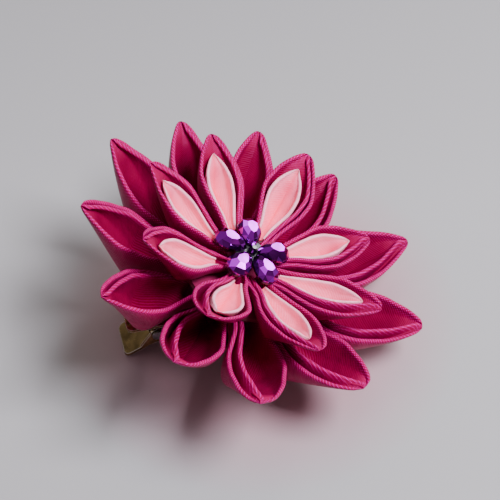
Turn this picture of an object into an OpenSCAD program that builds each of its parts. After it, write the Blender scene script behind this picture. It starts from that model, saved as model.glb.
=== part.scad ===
// Folded ribbon flower on a sprung hair clip, lying on its lever and its lowest petals.
// The flower has a ring of large petals, a ring of small petals with a pale petal in
// each, and five drop stones round a dark one. Lengths are in millimetres, +Z is up.

/* [Large petals] */
// Radius of the circle that the large tips reach
lower_reach = 37; // [34:0.5:40]
// Height of the large tips over the flower's back
lower_rise = 13.9; // [12:0.1:15]
// Width of a large petal across its rims
lower_width = 12; // [9:0.1:12.4]
// Radius where the large petals end, under the small ones
lower_heart = 11; // [10.5:0.5:12]
// Height of their rims at that end
lower_heart_rise = 6.4; // [5:0.1:8]

/* [Small petals] */
// Radius of the circle that the small tips reach
upper_reach = 27.3; // [25:0.1:29]
// Height of the small tips over the large petals' inner ends
upper_rise = 13; // [11.5:0.1:14]
// Width of a small petal across its rims
upper_width = 11; // [9:0.1:11.6]
// Radius where the small petals end, under the stones
upper_heart = 6.5; // [6.3:0.1:7]
// Height of their inner rims over the large petals' inner rims
upper_heart_rise = 5.6; // [5:0.1:6.4]

/* [Pale petals] */
// Distance from a small petal's tip back to the pale tip in it
pale_inset = 3.8; // [3.6:0.1:5]
// Drop from the small petal's rim to the pale rim
pale_drop = 1; // [0.6:0.1:1.6]
// Distance from the small petal's inner end to the pale one's
pale_back = 2; // [1.5:0.1:4]

/* [Cloth] */
// Thickness of a wall, two sheets of ribbon pressed together
wall = 1; // [0.8:0.05:1.2]
// Thickness of a folded tip
tip_w = 1; // [0.8:0.05:1.4]
// Widest opening of the slit in a petal's clockwise wall
slit_w = 1.6; // [1:0.1:2]
// Most that the back edge of a petal hangs below the flower's back
sag = 2.4; // [0:0.1:2.4]
// Running gap between pieces that touch on the real one
seat = 0.3; // [0.2:0.05:0.4]

/* [Felt backing] */
// Diameter of the disc under the large petals
felt_d = 28; // [24:0.5:34]
// Thickness of both discs
felt_t = 1; // [0.8:0.1:1.2]
// Diameter of the disc between the two rings of petals
middle_d = 26; // [23:0.5:27]

/* [Stones] */
// Length of a drop stone
stone_l = 7; // [6:0.1:7.6]
// Width of a drop stone
stone_w = 5; // [4.4:0.1:5.4]
// Thickness of a drop stone
stone_h = 2.5; // [1.8:0.1:3.2]
// Distance from the flower's middle to the narrow ends
stone_start = 1.3; // [1.2:0.05:1.6]
// Width of the dark stone in the middle
centre_w = 1.9; // [1.5:0.1:2.1]
// Thickness of the plate that carries the stones
plate_t = 0.5; // [0.4:0.1:0.8]

/* [Clip] */
// Lean of the flower when it lies on the lever, in degrees
tilt = 24.4; // [22:0.2:26]
// Width of the clip
clip_w = 7.8; // [7:0.1:10]
// Thickness of its sheet steel
clip_t = 0.8; // [0.6:0.05:0.9]
// Distance from under the flower's middle back to the lower lever's end
lever_reach = 22.2; // [21.6:0.1:24]
// Distance that the upper lever's end lies in front of the lower one's
lever_step = 0.9; // [0:0.1:1.5]
// Height of the upper lever's end over the floor
lever_h = 9.6; // [9.4:0.1:10.4]
// Fall of the upper lever towards the jaws, in degrees
lever_fall = 3; // [1:0.5:5]
// Radius of the levers' corners
lever_round = 1.2; // [0.4:0.1:2]
// Distance from under the flower's middle back to the pivot
pivot_back = 15; // [14.5:0.1:15.5]
// Diameter of the pivot pin
pin_d = 1.6; // [1.2:0.1:1.8]
// Radial running clearance of the pin in the ears
pin_play = 0.06; // [0.03:0.01:0.1]
// Wire diameter of the spring
wire_d = 0.6; // [0.4:0.05:0.7]

/* [Hidden] */

// Columns of the petal tables. TURN is degrees from the even ring. REACH and RISE are
// shares of the ring's reach and rise, WIDTH of its width, and LEAN, how far the tip
// leans to the anticlockwise side, is a share of that width too. SLIT is a share of
// slit_w and SAG a share of sag. BLUNT is 1 for a pointed tip and less for a round one.
TURN = 0;
REACH = 1;
RISE = 2;
WIDTH = 3;
LEAN = 4;
SLIT = 5;
SAG = 6;
BLUNT = 7;

// The large petals, clockwise seen from above, the first at lower_first degrees
lower_first = 133.5;
LOWER = [
    [1.5, 0.997, 1.02, 1.05, -0.13, 0.3, 0.27, 1],
    [1.5, 0.967, 0.96, 0.92, -0.07, 0.3, 0.17, 1],
    [2.5, 0.986, 0.96, 0.88, 0.03, 0.3, 0.17, 1],
    [0, 0.978, 0.96, 0.92, 0.31, 0.6, 0.17, 0.9],
    [0, 1.043, 1.10, 1.12, 0.24, 0.75, 0.24, 0.9],
    [0, 1.043, 1.05, 1.22, 0.16, 0.85, 1, 0.75],
    [-0.5, 0.978, 0.99, 1.19, 0, 1, 0.33, 0.62],
    [1, 0.997, 0.96, 1.06, -0.38, 1, 0.17, 0.6],
    [0, 0.997, 1.01, 1.03, -0.13, 0.9, 0.27, 0.62],
    [0, 1.011, 0.94, 0.97, 0.05, 0.4, 0.67, 0.85],
    [0, 0.984, 1.02, 1.02, 0, 0.4, 0.6, 1]
];

// The small petals, clockwise seen from above, the first at upper_first degrees
upper_first = 142;
UPPER = [
    [2, 0.974, 1.02, 0.97, -0.12, 0.2, 0, 1],
    [2, 1, 0.96, 0.95, -0.01, 0.2, 0, 0.9],
    [-2.5, 1.033, 1.09, 1.02, 0.14, 0.3, 0, 1],
    [-1, 0.974, 0.9, 0.95, -0.05, 0.5, 0, 0.9],
    [-2, 1.029, 0.99, 1, 0.13, 1, 0, 0.75],
    [0.5, 1.033, 0.99, 1, 0.09, 0.45, 0, 0.65],
    [4, 1, 1.02, 1.05, -0.27, 0.9, 0, 0.6],
    [2, 0.993, 1.02, 1.04, -0.08, 0.25, 0, 0.8]
];

// Degrees of the five drop stones round the flower's axis
STONES = [81, 153, 224, 288, 360];

// Shares along a petal from tip to inner end where a section is drawn
STATIONS = [0, 0.05, 0.14, 0.26, 0.4, 0.54, 0.68, 0.84, 1];

// Share of the length at which a petal is widest, and how pointed its tip is
leaf_peak = 0.44;
leaf_point = 1.6;
// How sharply the keel leaves the tip, its fall, and the height of the folded tip
keel_ease = 2;
keel_fall = 1.14;
tip_h = 1;
// Thickness of the fold along the bottom of a petal
keel_t = 1.2 * wall;
// How far the slit's outer rim lies under the inner one
slit_drop = 0.6;
// Depth of the slit as a share of the wall's height
slit_depth = 0.55;
// How round the slit's loop is at the tip, from 0 for square to 1 for pointed
slit_round = 0.4;
// Radius past which the back edges sag, just outside the felt, and where they hang fully
sag_start = felt_d / 2 + 1;
sag_run = 9;
sag_end = sag_start + sag_run;
// Most of a half width that one wall and the slit may take near the tip
thin_share = 0.38;
thin_slit = 0.2;
// How far the small petals run on under the stones, past their heart radius
upper_tail = 2.5;
// Opening of the slit at its inner end
slit_end = 0.03;

// Heights in the flower, over its back
middle_z = lower_heart_rise
    + (middle_d / 2 + 1 - lower_heart) / (lower_reach - lower_heart) * (lower_rise - lower_heart_rise)
    + seat;
upper_base = middle_z + felt_t + seat;
upper_heart_z = lower_heart_rise + upper_heart_rise;
upper_tip_z = lower_heart_rise + upper_rise;

function clamp(x) = max(0, min(1, x));
function ease(x) = let (c = clamp(x)) c * c * (3 - 2 * c);
function leaf(u) = u < leaf_peak
    ? 1 - pow(1 - u / leaf_peak, leaf_point)
    : (1 + cos(180 * (u - leaf_peak) / (1 - leaf_peak))) / 2;
// Half width of a wall's round section, as a share, at share v of its height
function round_wall(v) = sqrt(1 - pow(1 - clamp(v), 2));

// A ring of petals: reach, rise, width, heart radius, heart rim, count, base and tail
R_REACH = 0;
R_RISE = 1;
R_WIDTH = 2;
R_HEART = 3;
R_HEART_Z = 4;
R_COUNT = 5;
R_BASE = 6;
R_TAIL = 7;
function heart_width(radius, count) = 2 * radius * tan(180 / count) - 2 * seat;
lower_ring = [
    lower_reach, lower_rise, lower_width, lower_heart, lower_heart_rise,
    len(LOWER), 0, 0
];
upper_ring = [
    upper_reach, upper_tip_z, upper_width, upper_heart, upper_heart_z,
    len(UPPER), upper_base, upper_tail
];

// The measures of one petal at share u from its tip: radius, middle, half width,
// rim height, keel height, wall, slit and floor height of its pocket
M_R = 0;
M_Y = 1;
M_HALF = 2;
M_RIM = 3;
M_KEEL = 4;
M_WALL = 5;
M_SLIT = 6;
M_FLOOR = 7;
function measures(ring, row, u) =
    let (
        tip_r = ring[R_REACH] * row[REACH],
        tip_z = ring[R_BASE] + (ring[R_RISE] - ring[R_BASE]) * row[RISE],
        full = ring[R_WIDTH] * row[WIDTH],
        length = tip_r - ring[R_HEART],
        back = u * length,
        radius = tip_r - back,
        end_w = heart_width(min(radius, ring[R_HEART]), ring[R_COUNT]),
        width = u < leaf_peak
            ? tip_w + (full - tip_w) * pow(leaf(u), row[BLUNT])
            : end_w + (full - end_w) * leaf(min(u, 1)),
        rim = ring[R_HEART_Z] + (tip_z - ring[R_HEART_Z]) * (1 - u),
        base = ring[R_BASE] - sag * row[SAG] * ease((radius - sag_start) / (sag_end - sag_start)),
        keel = max(base, tip_z - tip_h - keel_fall * back * back / (back + keel_ease)),
        thin = min(wall, thin_share * width / 2),
        slit = min(slit_w * row[SLIT] * pow(sin(180 * clamp(u / 0.95)), slit_round), thin_slit * width)
    )
    [
        radius,
        full * row[LEAN] * pow(max(1 - u, 0), 1.5),
        width / 2,
        rim,
        keel,
        thin,
        max(slit, slit_end),
        keel + max(keel_t * clamp(4 * u + 0.3), 0.6 * (rim - keel) * (1 - 5 * u))
    ];

// How far the plate stays inside the stones' outline
plate_in = 0.2;
// Heights over the flower's back of the plate, just clear of the small rims, and stones
plate_r = stone_start + stone_l - plate_in;
function rim_at(ring, row, radius) =
    let (length = ring[R_REACH] * row[REACH] - ring[R_HEART])
    measures(ring, row, 1 - (radius - ring[R_HEART]) / length)[M_RIM];
plate_z = max([for (row = UPPER) rim_at(upper_ring, row, plate_r)]) + wall / 4 + seat;
stone_gap = 0.05;
stone_z = plate_z + plate_t + stone_gap;

// Shares of the pocket's depth where its sides have a point
POCKET = [0.35, 0.7];

// Gap between a pale petal and the pocket that holds it, and the least room at its keel
pale_gap = 2.1 * seat;
pale_room = 0.1;
// Share of its length over which a pale petal grows to its full width, and its tip's height
pale_peak = 0.3;
pale_tip_h = 0.8;

// One section of a petal, all round: anticlockwise wall, keel, clockwise wall with its
// slit, and the pocket. The points lie in the plane x = radius.
function section(m) =
    let (
        outer = [1, 0.75, 0.45, 0.2, 0.05],
        y = m[M_Y],
        half = m[M_HALF],
        t = m[M_WALL],
        s = m[M_SLIT],
        height = m[M_RIM] - m[M_KEEL],
        drop = min(slit_drop, 0.2 * height),
        lip = t / 4,
        slit_z = m[M_RIM] - slit_depth * height,
        slit_y = y - half * round_wall(1 - slit_depth) + t,
        depth = m[M_RIM] - m[M_FLOOR]
    )
    [
        for (v = outer) [y + half * round_wall(v), m[M_KEEL] + v * height],
        [y, m[M_KEEL]],
        for (i = [len(outer) - 1:-1:0])
            [y - half * round_wall(outer[i]), m[M_KEEL] + outer[i] * (height - drop)],
        [y - half + t / 2, m[M_RIM] - drop + lip],
        [y - half + t, m[M_RIM] - drop - lip / 4],
        [slit_y, slit_z],
        [y - half + t + s, m[M_RIM] - lip / 4],
        [y - half + t + s + t / 2, m[M_RIM] + lip],
        [y - half + 2 * t + s, m[M_RIM] - lip / 4],
        for (i = [len(POCKET) - 1:-1:0]) [pocket_low(m, POCKET[i]), m[M_FLOOR] + POCKET[i] * depth],
        [pocket_floor(m), m[M_FLOOR]],
        for (q = POCKET) [pocket_high(m, q), m[M_FLOOR] + q * depth],
        [y + half - t, m[M_RIM] - lip / 4],
        [y + half - t / 2, m[M_RIM] + lip]
    ];

// The pocket's two sides in that section, as y over the share of the pocket's depth
function pocket_low(m, q) =
    let (v = (m[M_FLOOR] + q * (m[M_RIM] - m[M_FLOOR]) - m[M_KEEL]) / (m[M_RIM] - m[M_KEEL]))
    m[M_Y] - m[M_HALF] * round_wall(v) + m[M_WALL] + (m[M_WALL] + m[M_SLIT]) * (0.3 + 0.7 * q);
function pocket_high(m, q) =
    let (v = (m[M_FLOOR] + q * (m[M_RIM] - m[M_FLOOR]) - m[M_KEEL]) / (m[M_RIM] - m[M_KEEL]))
    m[M_Y] + m[M_HALF] * round_wall(v) - m[M_WALL];
function pocket_floor(m) = m[M_Y] + m[M_SLIT] / 4;
function low_side(m, q) = lookup(q, concat(
    [[0, pocket_floor(m)]], [for (k = POCKET) [k, pocket_low(m, k)]], [[1, pocket_low(m, 1)]]
));
function high_side(m, q) = lookup(q, concat(
    [[0, pocket_floor(m)]], [for (k = POCKET) [k, pocket_high(m, k)]], [[1, pocket_high(m, 1)]]
));

// One section of a pale petal, which lines the pocket of a small one at a small gap.
// share is 0 at its own tip and 1 at its own inner end.
function pale_section(m, share) =
    let (
        gap = pale_gap,
        depth = m[M_RIM] - m[M_FLOOR],
        grow = 1 - pow(1 - clamp(share / pale_peak), leaf_point),
        // The keel hangs where the pocket is wide enough for it and its gaps
        open = high_side(m, POCKET[0]) - low_side(m, POCKET[0]),
        keel_full = m[M_FLOOR] + max(1.5 * gap, POCKET[0] * depth * 2 * (gap + pale_room) / open),
        rim = max(m[M_RIM] - pale_drop, keel_full + pale_tip_h),
        keel = rim - max(pale_tip_h, (rim - keel_full) * clamp(0.25 + 0.9 * share / pale_peak)),
        height = rim - keel,
        floor_z = keel + min(wall, 0.5 * height),
        // Height, middle and half width of a level at share w of the height
        level = function (w)
            let (
                z = keel + w * height,
                q = (z - m[M_FLOOR]) / depth,
                low = low_side(m, q) + gap,
                high = high_side(m, q) - gap,
                room = (high - low) / 2,
                tip = min(0.4 * tip_w, room)
            )
            [z, (low + high) / 2, tip + (room - tip) * grow],
        top = level(1),
        inner = level((1 + (floor_z - keel) / height) / 2),
        bottom_y = level(0)[1],
        t = min(wall, 0.45 * top[2]),
        t_inner = min(t, 0.45 * inner[2]),
        lip = t / 4
    )
    [
        for (w = [1, 0.6, 0.25]) [level(w)[1] + level(w)[2], level(w)[0]],
        [bottom_y, keel],
        for (w = [0.25, 0.6, 1]) [level(w)[1] - level(w)[2], level(w)[0]],
        [top[1] - top[2] + t / 2, rim + lip],
        [top[1] - top[2] + t, rim - lip / 4],
        [inner[1] - inner[2] + t_inner, inner[0]],
        [(inner[1] + bottom_y) / 2, floor_z],
        [inner[1] + inner[2] - t_inner, inner[0]],
        [top[1] + top[2] - t, rim - lip / 4],
        [top[1] + top[2] - t / 2, rim + lip]
    ];

// A solid through sections, each a list of [y, z] at its own radius
function loft_points(sections, radii) = [
    for (k = [0:len(sections) - 1]) for (p = sections[k]) [radii[k], p[0], p[1]]
];
function loft_faces(count, rows) = [
    [for (i = [0:count - 1]) i],
    for (k = [0:rows - 2]) for (i = [0:count - 1])
        let (a = k * count + i, b = k * count + (i + 1) % count)
        for (f = [[b, a, a + count], [b, a + count, b + count]]) f,
    [for (i = [count - 1:-1:0]) (rows - 1) * count + i]
];

function petal_points(ring, row) =
    let (
        stations = ring[R_TAIL] > 0
            ? concat(STATIONS, [1 + ring[R_TAIL] / (ring[R_REACH] * row[REACH] - ring[R_HEART])])
            : STATIONS,
        m = [for (u = stations) measures(ring, row, u)]
    )
    loft_points([for (k = m) section(k)], [for (k = m) k[M_R]]);
function petal_turn(table, first, i) = first - 360 / len(table) * i + table[i][TURN];

// Places a flower point in the part, before the part is centred
function spin(p, degrees) = [
    p[0] * cos(degrees) - p[1] * sin(degrees),
    p[0] * sin(degrees) + p[1] * cos(degrees),
    p[2]
];
function lean(p) = [
    p[0] * cos(tilt) + p[2] * sin(tilt),
    p[1],
    p[2] * cos(tilt) - p[0] * sin(tilt)
];
LARGE_POINTS = [
    for (i = [0:len(LOWER) - 1]) for (p = petal_points(lower_ring, LOWER[i]))
        lean(spin(p, petal_turn(LOWER, lower_first, i)))
];
SMALL_POINTS = [
    for (i = [0:len(UPPER) - 1]) for (p = petal_points(upper_ring, UPPER[i]))
        lean(spin(p, petal_turn(UPPER, upper_first, i)))
];
FLOWER_POINTS = concat(LARGE_POINTS, SMALL_POINTS);
function least(k) = min([for (p = FLOWER_POINTS) p[k]]);
function most(k) = max([for (p = FLOWER_POINTS) p[k]]);
// Height of the flower's back over the floor, so that its lowest petal just touches
base_h = -least(2);
// The part's origin is under the middle of its box, on the floor
centre_x = (least(0) + most(0)) / 2;
centre_y = (least(1) + most(1)) / 2;

module on_floor() {
    translate([-centre_x, -centre_y, 0])
        children();
}

module in_flower() {
    on_floor()
        translate([0, 0, base_h])
            rotate([0, tilt, 0])
                children();
}

module petal(ring, table, first, i) {
    in_flower()
        rotate([0, 0, petal_turn(table, first, i)])
            polyhedron(
                points = petal_points(ring, table[i]),
                faces = loft_faces(
                    len(section(measures(ring, table[i], 0))),
                    len(STATIONS) + (ring[R_TAIL] > 0 ? 1 : 0)
                ),
                convexity = 6
            );
}

module petal_lower(i) {
    color([0.78, 0.04, 0.44])
        petal(lower_ring, LOWER, lower_first, i);
}

module petal_upper(i) {
    color([0.82, 0.06, 0.48])
        petal(upper_ring, UPPER, upper_first, i);
}

module petal_pale(i) {
    row = UPPER[i];
    length = upper_reach * row[REACH] - upper_heart;
    near = pale_inset / length;
    far = 1 - pale_back / length;
    stations = concat([near], [for (u = STATIONS) if (u > near + 0.03 && u < far - 0.03) u], [far]);
    m = [for (u = stations) measures(upper_ring, row, u)];
    sections = [for (k = [0:len(m) - 1]) pale_section(m[k], (stations[k] - near) / (far - near))];
    color([0.97, 0.62, 0.68])
        in_flower()
            rotate([0, 0, petal_turn(UPPER, upper_first, i)])
                polyhedron(
                    points = loft_points(sections, [for (k = m) k[M_R]]),
                    faces = loft_faces(len(sections[0]), len(sections)),
                    convexity = 6
                );
}

// Felt
module felt_back() {
    color([0.72, 0.05, 0.4])
        in_flower()
            translate([0, 0, -seat - felt_t])
                cylinder(d = felt_d, h = felt_t, $fn = 96);
}

module felt_middle() {
    color([0.72, 0.05, 0.4])
        in_flower()
            translate([0, 0, middle_z])
                cylinder(d = middle_d, h = felt_t, $fn = 96);
}

// Stones. The outline is a drop: round outside, narrowing to its inner end.
STONE_SIDES = 12;
function drop_outline(length, width) = [
    for (k = [0:STONE_SIDES - 1])
        let (a = 360 / STONE_SIDES * (k + 0.5), x = (1 - cos(a)) / 2)
        [length * x, width / 2 * sin(a) * (0.52 + 0.56 * x) * 1.06]
];

module cut_stone(outline, middle, table_share, girdle, height) {
    n = len(outline);
    table = [for (p = outline) middle + (p - middle) * table_share];
    polyhedron(
        points = concat(
            [for (p = outline) [p[0], p[1], 0]],
            [for (p = outline) [p[0], p[1], girdle]],
            [for (p = table) [p[0], p[1], height]]
        ),
        faces = concat(
            [[for (i = [0:n - 1]) i]],
            [for (r = [0, 1]) for (i = [0:n - 1])
                let (a = r * n + i, b = r * n + (i + 1) % n)
                [b, a, a + n, b + n]],
            [[for (i = [n - 1:-1:0]) 2 * n + i]]
        )
    );
}

module stone(i) {
    color([0.42, 0.06, 0.72])
        in_flower()
            rotate([0, 0, STONES[i]])
                translate([stone_start, 0, stone_z])
                    cut_stone(drop_outline(stone_l, stone_w), [0.58 * stone_l, 0], 0.5,
                        0.35 * stone_h, stone_h);
}

module stone_centre() {
    ring = [for (k = [0:7]) let (a = 45 * k + 22.5) centre_w / 2 * [cos(a), sin(a)]];
    color([0.08, 0.02, 0.12])
        in_flower()
            translate([0, 0, stone_z])
                cut_stone(ring, [0, 0], 0.5, 0.3 * stone_h, 0.7 * stone_h);
}

module stone_plate() {
    color([0.85, 0.85, 0.9])
        in_flower()
            translate([0, 0, plate_z])
                union() {
                    cylinder(d = stone_l, h = plate_t, $fn = 48);
                    for (a = STONES)
                        rotate([0, 0, a])
                            linear_extrude(height = plate_t)
                                translate([stone_start + plate_in, 0])
                                    polygon(drop_outline(stone_l - 2 * plate_in, stone_w - 3 * plate_in));
                }
}

// Clip. Its side view is drawn in x and z, with x = 0 under the flower's middle.
slope = tan(tilt);
under_felt = base_h - (2 * seat + felt_t) / cos(tilt);
jaw_gap = 0.15;
// The jaws end where the lower one comes down to the floor
jaw_x = (under_felt - (2 * clip_t + jaw_gap) / cos(tilt)) / slope;
// Length over which the closed jaws lie against each other
jaw_meet = 4;
lever_x = -lever_reach;
top_lever_x = lever_x + lever_step;
top_t = clip_t / cos(lever_fall);
jaw_t = clip_t / cos(tilt);
// Where the lever's line meets the felt's underside
bend_x = (under_felt - lever_h - top_lever_x * tan(lever_fall)) / (slope - tan(lever_fall));
function top_lever_z(x) = lever_h - (x - top_lever_x) * tan(lever_fall);
function top_jaw_z(x) = under_felt - x * slope;
bend_z = top_lever_z(bend_x);

// Thickness of the ears, the gap between the two pairs, and the rim round the pin's hole
ear_t = 0.6;
ear_gap = 0.2;
ear_rim = 0.9;
ear_r = pin_d / 2 + ear_rim;
// Half the length of the upper arm's ears where they leave it
ear_root = 2.4;
// How far the lower arm's ears reach back from its bend
ear_foot = 3.4;
// The lower arm rises to a bend just behind the pivot and runs on to a rest before it
bend_back = 0.8;
bend_h = 3.5;
rest_front = 1.8;
rest_rise = 0.5;
low_bend = [-pivot_back - bend_back, bend_h];
low_rest = [-pivot_back + rest_front, bend_h + rest_rise];
// The pivot lies midway between the levers
pivot_x = -pivot_back;
pivot_z = (top_lever_z(pivot_x) - top_t + bend_h + clip_t) / 2;
meet_x = jaw_x - jaw_meet;
meet_z = top_jaw_z(meet_x) - 2 * jaw_t - jaw_gap / cos(tilt);

// Extrudes a side view across the clip, from y0 to y1
module across(y0, y1) {
    translate([0, y1, 0])
        rotate([90, 0, 0])
            linear_extrude(height = y1 - y0)
                children();
}

// Plan of an arm: wide lever with round corners, narrower jaw with round end
module arm_plan(x0, x1) {
    jaw_w = 0.8 * clip_w;
    corner = lever_round;
    // The lever keeps its full width as far as this past the pivot
    wide = 3;
    joined = wide - 0.1;
    translate([0, 0, -base_h])
        linear_extrude(height = 3 * base_h)
            union() {
                for (s = [-1, 1])
                    translate([x0 + corner, s * (clip_w / 2 - corner)])
                        circle(r = corner, $fn = 32);
                translate([x0, -clip_w / 2 + corner])
                    square([corner, clip_w - 2 * corner]);
                translate([x0 + corner, -clip_w / 2])
                    square([-pivot_back + wide - x0 - corner, clip_w]);
                translate([-pivot_back + joined, -jaw_w / 2])
                    square([x1 + pivot_back - joined - jaw_w / 4, jaw_w]);
                translate([x1 - jaw_w / 2, -jaw_w / 4])
                    square([jaw_w / 2, jaw_w / 2]);
                for (s = [-1, 1])
                    translate([x1 - jaw_w / 4, s * jaw_w / 4])
                        circle(r = jaw_w / 4, $fn = 32);
            }
}

module pin_hole() {
    translate([pivot_x, clip_w, pivot_z])
        rotate([90, 0, 0])
            cylinder(r = pin_d / 2 + pin_play, h = 2 * clip_w, $fn = 48);
}

module clip_top() {
    ear_out = clip_w / 2 - ear_t - ear_gap;
    lower_z = top_lever_z(pivot_x) - top_t;
    color([0.82, 0.82, 0.84])
        on_floor()
            difference() {
                union() {
                    intersection() {
                        across(-clip_w / 2, clip_w / 2)
                            polygon([
                                [top_lever_x, lever_h],
                                [bend_x, bend_z],
                                [jaw_x, top_jaw_z(jaw_x)],
                                [jaw_x, top_jaw_z(jaw_x) - jaw_t],
                                [bend_x, bend_z - jaw_t],
                                [top_lever_x, lever_h - top_t]
                            ]);
                        arm_plan(top_lever_x, jaw_x);
                    }
                    for (side = [[-ear_out, -ear_out + ear_t], [ear_out - ear_t, ear_out]])
                        across(side[0], side[1])
                            union() {
                                translate([pivot_x, pivot_z])
                                    circle(r = ear_r, $fn = 48);
                                polygon([
                                    [pivot_x - ear_r, pivot_z],
                                    [pivot_x + ear_r, pivot_z],
                                    [pivot_x + ear_root, lower_z + top_t / 2],
                                    [pivot_x - ear_root, lower_z + top_t / 2]
                                ]);
                            }
                }
                pin_hole();
            }
}

module clip_jaw() {
    ear_out = clip_w / 2;
    color([0.72, 0.66, 0.5])
        on_floor()
            difference() {
                union() {
                    intersection() {
                        across(-clip_w / 2, clip_w / 2)
                            polygon([
                                [lever_x, 0],
                                low_bend,
                                low_rest,
                                [meet_x, meet_z],
                                [jaw_x, 0],
                                [jaw_x, jaw_t],
                                [meet_x, meet_z + jaw_t],
                                low_rest + [0, clip_t],
                                low_bend + [0, 1.06 * clip_t],
                                [lever_x, 1.14 * clip_t]
                            ]);
                        arm_plan(lever_x, jaw_x);
                    }
                    for (side = [[-ear_out, -ear_out + ear_t], [ear_out - ear_t, ear_out]])
                        across(side[0], side[1])
                            union() {
                                translate([pivot_x, pivot_z])
                                    circle(r = ear_r, $fn = 48);
                                polygon([
                                    [pivot_x + ear_r, pivot_z],
                                    [pivot_x - ear_r, pivot_z],
                                    low_bend + [-ear_foot, -ear_foot * bend_h / (low_bend[0] - lever_x) + clip_t / 2],
                                    low_bend + [0, clip_t / 2],
                                    low_rest + [0, clip_t / 2]
                                ]);
                            }
                }
                pin_hole();
            }
}

module pivot_pin() {
    head_t = 0.4;
    head_gap = 0.1;
    color([0.6, 0.6, 0.62])
        on_floor()
            translate([pivot_x, 0, pivot_z])
                rotate([90, 0, 0])
                    union() {
                        cylinder(d = pin_d, h = clip_w + head_t, center = true, $fn = 48);
                        for (s = [-1, 1])
                            translate([0, 0, s * (clip_w / 2 + head_gap + head_t / 2)])
                                cylinder(d = 1.6 * pin_d, h = head_t, center = true, $fn = 48);
                    }
}

// Spring. The coil is a wire swept round the pin, with a leg against the upper arm.
// The separate leg lies just inside the inner ears, and the coil has the turns that fit.
wire_gap = 0.08;
coil_gap = 0.15;
leg_gap = 0.12;
coil_r = pin_d / 2 + coil_gap + wire_d / 2;
leg_y = clip_w / 2 - 2 * ear_t - ear_gap - leg_gap - wire_d / 2;
coil_half = leg_y - 1.2 * wire_d;
coil_turns = floor(2 * coil_half / (wire_d + wire_gap) + 0.01);
coil_steps = 12;
wire_sides = 6;
leg_l = 4.5;
function coil_point(k) =
    let (a = 90 - 360 / coil_steps * k)
    [coil_r * cos(a), -coil_half + 2 * coil_half * k / (coil_turns * coil_steps), coil_r * sin(a)];
function wire_ring(p, along) =
    let (
        side = [0, 1, 0],
        up = cross(along, side),
        unit = up / norm(up)
    )
    [for (j = [0:wire_sides - 1])
        let (b = 360 / wire_sides * j)
        p + wire_d / 2 * (cos(b) * side + sin(b) * unit)];

module swept_wire(path) {
    n = len(path);
    rings = [
        for (k = [0:n - 1])
            wire_ring(path[k], path[min(n - 1, k + 1)] - path[max(0, k - 1)])
    ];
    polyhedron(
        points = [for (r = rings) for (p = r) p],
        faces = concat(
            [[for (i = [0:wire_sides - 1]) i]],
            [for (k = [0:n - 2]) for (i = [0:wire_sides - 1])
                let (a = k * wire_sides + i, b = k * wire_sides + (i + 1) % wire_sides)
                for (f = [[b, a, a + wire_sides], [b, a + wire_sides, b + wire_sides]]) f],
            [[for (i = [wire_sides - 1:-1:0]) (n - 1) * wire_sides + i]]
        ),
        convexity = 6
    );
}

module spring() {
    start = coil_point(0);
    color([0.7, 0.7, 0.72])
        on_floor()
            translate([pivot_x, 0, pivot_z])
                swept_wire(concat(
                    [start - [leg_l, 0, 0], start - [0.5 * coil_r, 0, 0]],
                    [for (k = [0:coil_turns * coil_steps]) coil_point(k)]
                ));
}

module spring_leg() {
    path = [
        for (k = [0:9]) let (a = 90 - 20 * k) [coil_r * cos(a), leg_y, coil_r * sin(a)]
    ];
    last = path[len(path) - 1];
    color([0.7, 0.7, 0.72])
        on_floor()
            translate([pivot_x, 0, pivot_z])
                swept_wire(concat(path, [last - [0.5 * leg_l, 0, 0.25 * leg_l]]));
}

petal_lower(0);  // petal_lower_01
petal_lower(1);  // petal_lower_02
petal_lower(2);  // petal_lower_03
petal_lower(3);  // petal_lower_04
petal_lower(4);  // petal_lower_05
petal_lower(5);  // petal_lower_06
petal_lower(6);  // petal_lower_07
petal_lower(7);  // petal_lower_08
petal_lower(8);  // petal_lower_09
petal_lower(9);  // petal_lower_10
petal_lower(10);  // petal_lower_11
petal_upper(0);  // petal_upper_01
petal_upper(1);  // petal_upper_02
petal_upper(2);  // petal_upper_03
petal_upper(3);  // petal_upper_04
petal_upper(4);  // petal_upper_05
petal_upper(5);  // petal_upper_06
petal_upper(6);  // petal_upper_07
petal_upper(7);  // petal_upper_08
petal_pale(0);  // petal_pale_01
petal_pale(1);  // petal_pale_02
petal_pale(2);  // petal_pale_03
petal_pale(3);  // petal_pale_04
petal_pale(4);  // petal_pale_05
petal_pale(5);  // petal_pale_06
petal_pale(6);  // petal_pale_07
petal_pale(7);  // petal_pale_08
felt_back();
felt_middle();
stone(0);  // stone_1
stone(1);  // stone_2
stone(2);  // stone_3
stone(3);  // stone_4
stone(4);  // stone_5
stone_centre();
stone_plate();
clip_top();
clip_jaw();
pivot_pin();
spring();
spring_leg();
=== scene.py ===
"""Ribbon flower on a sprung hair clip: folded satin petals, cut stones, felt and steel."""

import math
from types import SimpleNamespace

import bpy
import numpy as np
from bpy.props import FloatProperty, FloatVectorProperty, IntProperty, PointerProperty
from bpy.types import Operator, Panel, PropertyGroup
from mathutils import Matrix, Vector


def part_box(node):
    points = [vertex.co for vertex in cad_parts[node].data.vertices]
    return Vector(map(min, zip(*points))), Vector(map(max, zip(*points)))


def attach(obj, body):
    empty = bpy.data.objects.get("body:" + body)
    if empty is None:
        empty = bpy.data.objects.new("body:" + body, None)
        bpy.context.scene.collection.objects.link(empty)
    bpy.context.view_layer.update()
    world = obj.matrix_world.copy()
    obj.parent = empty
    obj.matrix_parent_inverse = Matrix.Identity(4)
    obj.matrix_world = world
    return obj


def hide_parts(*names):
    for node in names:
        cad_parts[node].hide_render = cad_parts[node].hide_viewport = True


bl_info = {
    "name": "Ribbon flower hair clip",
    "version": (1, 0, 0),
    "blender": (4, 5, 0),
    "location": "3D Viewport > Sidebar > Ribbon flower",
    "description": "Folds satin petals round the packed clip, cuts its stones and finishes it",
    "category": "Object",
}

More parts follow.
